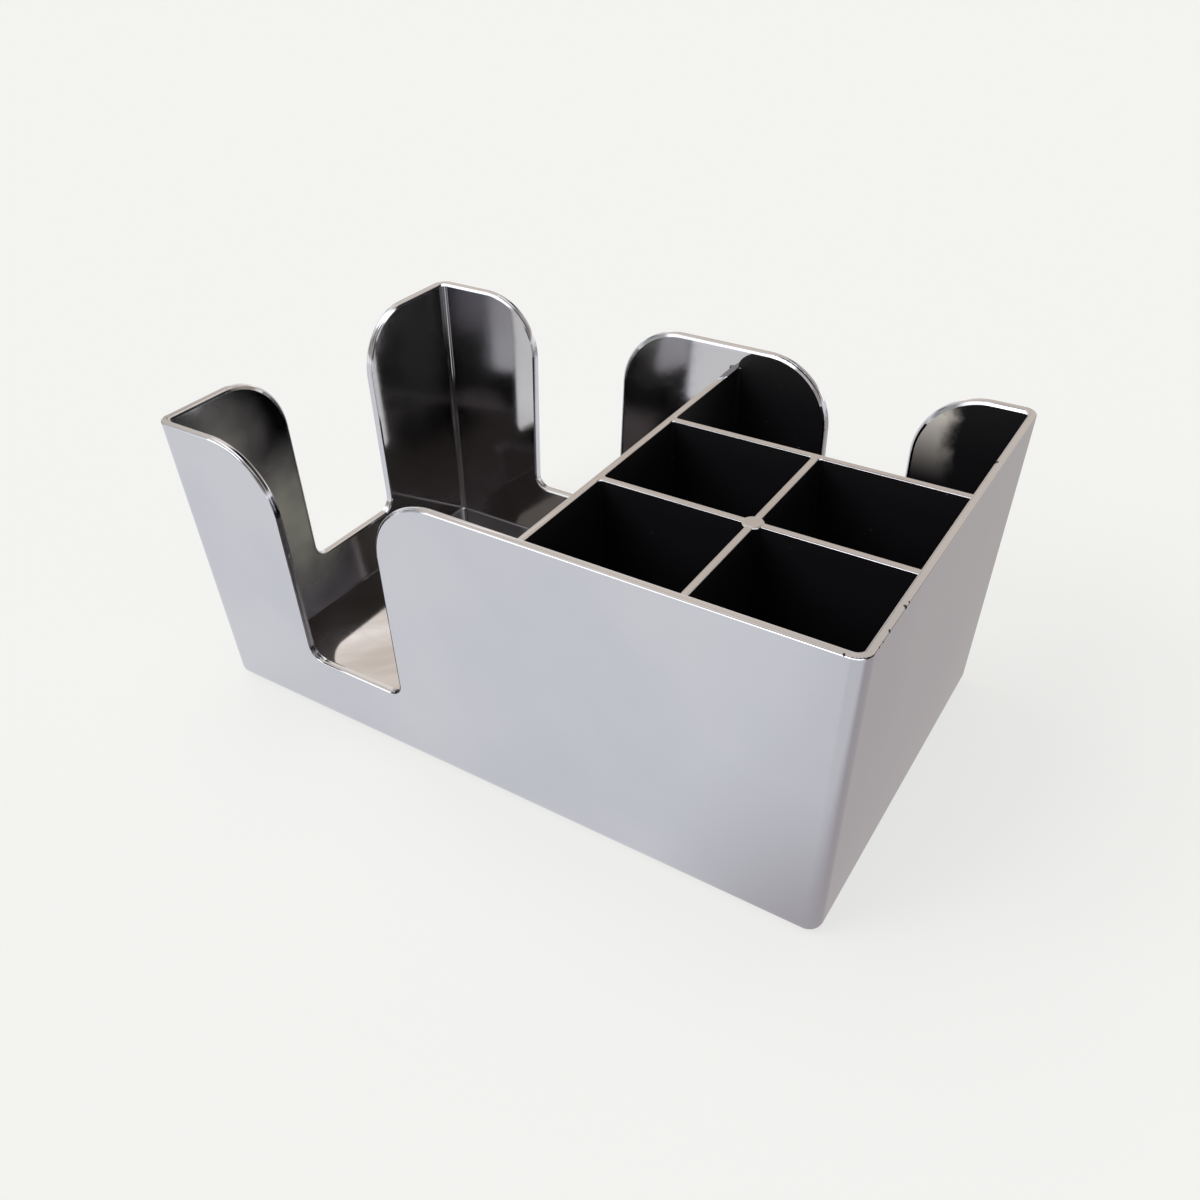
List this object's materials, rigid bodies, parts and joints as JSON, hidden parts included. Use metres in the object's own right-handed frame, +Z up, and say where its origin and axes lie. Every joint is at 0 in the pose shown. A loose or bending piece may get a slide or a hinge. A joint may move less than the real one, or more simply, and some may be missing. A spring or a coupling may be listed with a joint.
{
  "type": "bar caddy",
  "caption": "Open chrome-plated bar caddy: drafted tray with a cut-away napkin bay, square garnish cells parted by a cross wall, a long straw trough and non-slip feet.",
  "frame": {"origin": "on the surface that the feet stand on, below the middle of the tray", "axes": "+X along the tray's long side, from the napkin bay to the cells; +Y from the cells to the trough; +Z up"},
  "size_m": [0.24, 0.1478, 0.1062],
  "materials": {
    "chrome_plate": "bright chrome plating on moulded black plastic, with worn specks along the rim",
    "thin_plate": "glossy black plastic where the plating did not reach, with plated top edges",
    "foot_rubber": "matt black rubber"
  },
  "bodies": {
    "root": {"tray_shell": "chrome_plate", "napkin_divider": "chrome_plate", "trough_wall": "thin_plate", "cell_cross": "thin_plate", "foot_near_left": "foot_rubber", "foot_near_right": "foot_rubber", "foot_far_left": "foot_rubber", "foot_far_right": "foot_rubber"}
  },
  "joints": []
}
